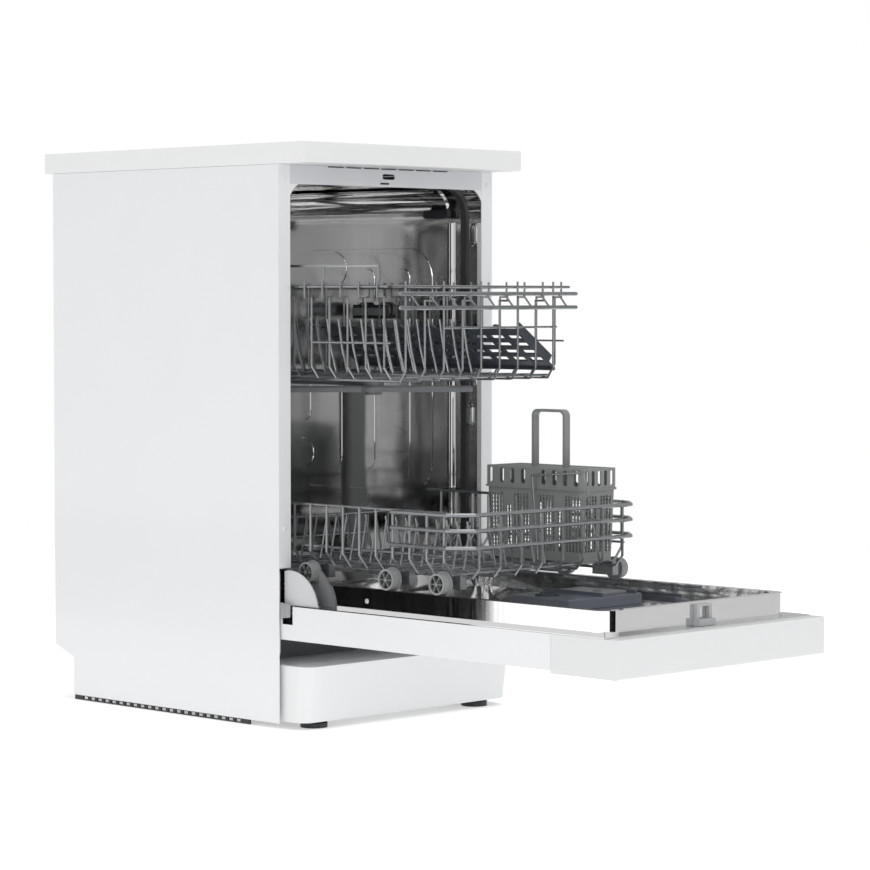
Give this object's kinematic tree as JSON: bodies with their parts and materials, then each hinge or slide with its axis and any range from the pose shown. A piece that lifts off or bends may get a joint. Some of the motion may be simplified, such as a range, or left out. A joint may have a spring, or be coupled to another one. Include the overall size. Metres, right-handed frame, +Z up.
{
  "type": "dishwasher",
  "caption": "Slim white freestanding dishwasher with its door open flat, wire racks pulled out, a folding cup shelf and a lidded cutlery basket with a tall handle.",
  "frame": {"origin": "centre of the whole open machine's footprint, on the floor", "axes": "+X is right for a person facing the open door, -Y is the way the door opens, +Z is up"},
  "size_m": [0.448, 1.19, 0.85],
  "materials": {
    "white_board": "white laminate",
    "white_paint": "gloss enamel",
    "white_plastic": "semi-gloss moulded",
    "zinc_sheet": "galvanised",
    "stainless": "polished",
    "bracket_steel": "zinc plated",
    "cast_block": "rough cast",
    "black_rubber": "matt",
    "black_plastic": "fine texture",
    "grey_plastic": "satin moulded",
    "pale_plastic": "satin moulded",
    "dark_plastic": "satin moulded",
    "tray_plastic": "moulded",
    "wire_coat": "nylon coated wire"
  },
  "bodies": {
    "cabinet": {"base_tray": "tray_plastic", "circulation_pump": "black_plastic", "control_panel": "white_plastic", "counterweight": "cast_block", "dispenser": "dark_plastic", "door_latch": "pale_plastic", "door_liner": "stainless", "door_outer_panel": "white_paint", "drain_pump": "black_plastic", "drain_spigot": "black_plastic", "front_crossbar": "white_paint", "hinge_arms": "bracket_steel", "hinge_brackets": "bracket_steel", "hinge_covers": "pale_plastic", "inlet_valve": "pale_plastic", "kick_panel": "black_plastic", "levelling_feet": "black_plastic", "plinth": "white_plastic", "rack_runners": "stainless", "rear_panel": "zinc_sheet", "runner_stops": "black_plastic", "side_panel_left": "white_paint", "side_panel_right": "white_paint", "sump": "grey_plastic", "tub": "stainless", "tub_seal": "black_rubber", "water_duct": "grey_plastic", "worktop": "white_board"},
    "lower_rack": {"lower_rack_floor": "wire_coat", "lower_rack_sides": "wire_coat", "lower_rack_ends": "wire_coat", "fixed_tines": "wire_coat", "cutlery_basket": "grey_plastic", "basket_lid": "grey_plastic"},
    "tine_row": {"folding_tines": "wire_coat"},
    "upper_rack": {"upper_rack_floor": "wire_coat", "upper_rack_sides": "wire_coat", "upper_rack_ends": "wire_coat", "upper_spray_feed": "grey_plastic"},
    "shelf": {"cup_shelf": "dark_plastic"},
    "lower_arm": {"lower_spray_arm": "grey_plastic"},
    "upper_arm": {"upper_spray_arm": "grey_plastic"},
    "lid": {"detergent_lid": "grey_plastic"},
    "rinse_cap": {"rinse_aid_cap": "dark_plastic"},
    "softener_cap": {"salt_cap": "pale_plastic"},
    "filter": {"filter_cup": "grey_plastic"},
    "power": {"power_button": "white_plastic"},
    "start": {"start_button": "white_plastic"},
    "lower_wheel_left_1_body": {"lower_wheel_left_1": "pale_plastic"},
    "lower_wheel_left_2_body": {"lower_wheel_left_2": "pale_plastic"},
    "lower_wheel_left_3_body": {"lower_wheel_left_3": "pale_plastic"},
    "lower_wheel_left_4_body": {"lower_wheel_left_4": "pale_plastic"},
    "lower_wheel_right_1_body": {"lower_wheel_right_1": "pale_plastic"},
    "lower_wheel_right_2_body": {"lower_wheel_right_2": "pale_plastic"},
    "lower_wheel_right_3_body": {"lower_wheel_right_3": "pale_plastic"},
    "lower_wheel_right_4_body": {"lower_wheel_right_4": "pale_plastic"},
    "upper_wheel_left_front_body": {"upper_wheel_left_front": "pale_plastic"},
    "upper_wheel_left_rear_body": {"upper_wheel_left_rear": "pale_plastic"},
    "upper_wheel_right_front_body": {"upper_wheel_right_front": "pale_plastic"},
    "upper_wheel_right_rear_body": {"upper_wheel_right_rear": "pale_plastic"}
  },
  "joints": [
    {"name": "lower_rack_slide", "type": "slide", "parent": "cabinet", "child": "lower_rack", "axis": [0, 1, 0], "range_m": [0, 0.342]},
    {"name": "upper_rack_slide", "type": "slide", "parent": "cabinet", "child": "upper_rack", "axis": [0, 1, 0], "range_m": [0, 0.198]},
    {"name": "lower_wheel_left_1_spin", "type": "hinge", "parent": "lower_rack", "child": "lower_wheel_left_1_body", "pos_m": [-0.187, -0.237, 0.2283], "axis": [1, 0, 0], "range_deg": [-1310, 0]},
    {"name": "lower_wheel_left_2_spin", "type": "hinge", "parent": "lower_rack", "child": "lower_wheel_left_2_body", "pos_m": [-0.187, -0.136, 0.2283], "axis": [1, 0, 0], "range_deg": [-1310, 0]},
    {"name": "lower_wheel_left_3_spin", "type": "hinge", "parent": "lower_rack", "child": "lower_wheel_left_3_body", "pos_m": [-0.187, 0.03, 0.2283], "axis": [1, 0, 0], "range_deg": [-1310, 0]},
    {"name": "lower_wheel_left_4_spin", "type": "hinge", "parent": "lower_rack", "child": "lower_wheel_left_4_body", "pos_m": [-0.187, 0.131, 0.2283], "axis": [1, 0, 0], "range_deg": [-1310, 0]},
    {"name": "upper_wheel_left_front_spin", "type": "hinge", "parent": "upper_rack", "child": "upper_wheel_left_front_body", "pos_m": [-0.19, 0.261, 0.607], "axis": [1, 0, 0], "range_deg": [-950, 0]},
    {"name": "upper_wheel_left_rear_spin", "type": "hinge", "parent": "upper_rack", "child": "upper_wheel_left_rear_body", "pos_m": [-0.19, 0.307, 0.607], "axis": [1, 0, 0], "range_deg": [-950, 0]},
    {"name": "lower_wheel_right_1_spin", "type": "hinge", "parent": "lower_rack", "child": "lower_wheel_right_1_body", "pos_m": [0.187, -0.237, 0.2283], "axis": [1, 0, 0], "range_deg": [-1310, 0]},
    {"name": "lower_wheel_right_2_spin", "type": "hinge", "parent": "lower_rack", "child": "lower_wheel_right_2_body", "pos_m": [0.187, -0.136, 0.2283], "axis": [1, 0, 0], "range_deg": [-1310, 0]},
    {"name": "lower_wheel_right_3_spin", "type": "hinge", "parent": "lower_rack", "child": "lower_wheel_right_3_body", "pos_m": [0.187, 0.03, 0.2283], "axis": [1, 0, 0], "range_deg": [-1310, 0]},
    {"name": "lower_wheel_right_4_spin", "type": "hinge", "parent": "lower_rack", "child": "lower_wheel_right_4_body", "pos_m": [0.187, 0.131, 0.2283], "axis": [1, 0, 0], "range_deg": [-1310, 0]},
    {"name": "upper_wheel_right_front_spin", "type": "hinge", "parent": "upper_rack", "child": "upper_wheel_right_front_body", "pos_m": [0.19, 0.261, 0.607], "axis": [1, 0, 0], "range_deg": [-950, 0]},
    {"name": "upper_wheel_right_rear_spin", "type": "hinge", "parent": "upper_rack", "child": "upper_wheel_right_rear_body", "pos_m": [0.19, 0.307, 0.607], "axis": [1, 0, 0], "range_deg": [-950, 0]},
    {"name": "lower_arm_spin", "type": "hinge", "parent": "cabinet", "child": "lower_arm", "pos_m": [0, 0.317, 0.21], "axis": [0, 0, 1], "continuous": true},
    {"name": "upper_arm_spin", "type": "hinge", "parent": "upper_rack", "child": "upper_arm", "pos_m": [0, 0.089, 0.489], "axis": [0, 0, 1], "continuous": true},
    {"name": "cup_shelf_fold", "type": "hinge", "parent": "upper_rack", "child": "shelf", "pos_m": [0.164, -0.026, 0.521], "axis": [0, 1, 0], "range_deg": [-25, 42]},
    {"name": "tines_fold", "type": "hinge", "parent": "lower_rack", "child": "tine_row", "pos_m": [-0.052, -0.095, 0.244], "axis": [0, 1, 0], "range_deg": [-75, 0]},
    {"name": "detergent_lid_slide", "type": "slide", "parent": "cabinet", "child": "lid", "axis": [0, -1, 0], "range_m": [0, 0.055]},
    {"name": "rinse_cap_turn", "type": "hinge", "parent": "cabinet", "child": "rinse_cap", "pos_m": [0.014, -0.255, 0.2], "axis": [0, 0, 1], "range_deg": [0, 90]},
    {"name": "softener_cap_turn", "type": "hinge", "parent": "cabinet", "child": "softener_cap", "pos_m": [-0.128, 0.355, 0.19], "axis": [0, 0, 1], "range_deg": [0, 360]},
    {"name": "filter_turn", "type": "hinge", "parent": "cabinet", "child": "filter", "pos_m": [0.0333, 0.317, 0.16], "axis": [0, 0, 1], "range_deg": [0, 90]},
    {"name": "power_press", "type": "slide", "parent": "cabinet", "child": "power", "axis": [0, 0, 1], "range_m": [0, 0.0012], "stiffness_N_per_m": 2500},
    {"name": "start_press", "type": "slide", "parent": "cabinet", "child": "start", "axis": [0, 0, 1], "range_m": [0, 0.0012], "stiffness_N_per_m": 2500}
  ],
  "couplings": [
    {"joint": "lower_wheel_left_1_spin", "follows": "lower_rack_slide", "rad_per_m": -66.667},
    {"joint": "lower_wheel_left_2_spin", "follows": "lower_rack_slide", "rad_per_m": -66.667},
    {"joint": "lower_wheel_left_3_spin", "follows": "lower_rack_slide", "rad_per_m": -66.667},
    {"joint": "lower_wheel_left_4_spin", "follows": "lower_rack_slide", "rad_per_m": -66.667},
    {"joint": "upper_wheel_left_front_spin", "follows": "upper_rack_slide", "rad_per_m": -83.333},
    {"joint": "upper_wheel_left_rear_spin", "follows": "upper_rack_slide", "rad_per_m": -83.333},
    {"joint": "lower_wheel_right_1_spin", "follows": "lower_rack_slide", "rad_per_m": -66.667},
    {"joint": "lower_wheel_right_2_spin", "follows": "lower_rack_slide", "rad_per_m": -66.667},
    {"joint": "lower_wheel_right_3_spin", "follows": "lower_rack_slide", "rad_per_m": -66.667},
    {"joint": "lower_wheel_right_4_spin", "follows": "lower_rack_slide", "rad_per_m": -66.667},
    {"joint": "upper_wheel_right_front_spin", "follows": "upper_rack_slide", "rad_per_m": -83.333},
    {"joint": "upper_wheel_right_rear_spin", "follows": "upper_rack_slide", "rad_per_m": -83.333}
  ]
}
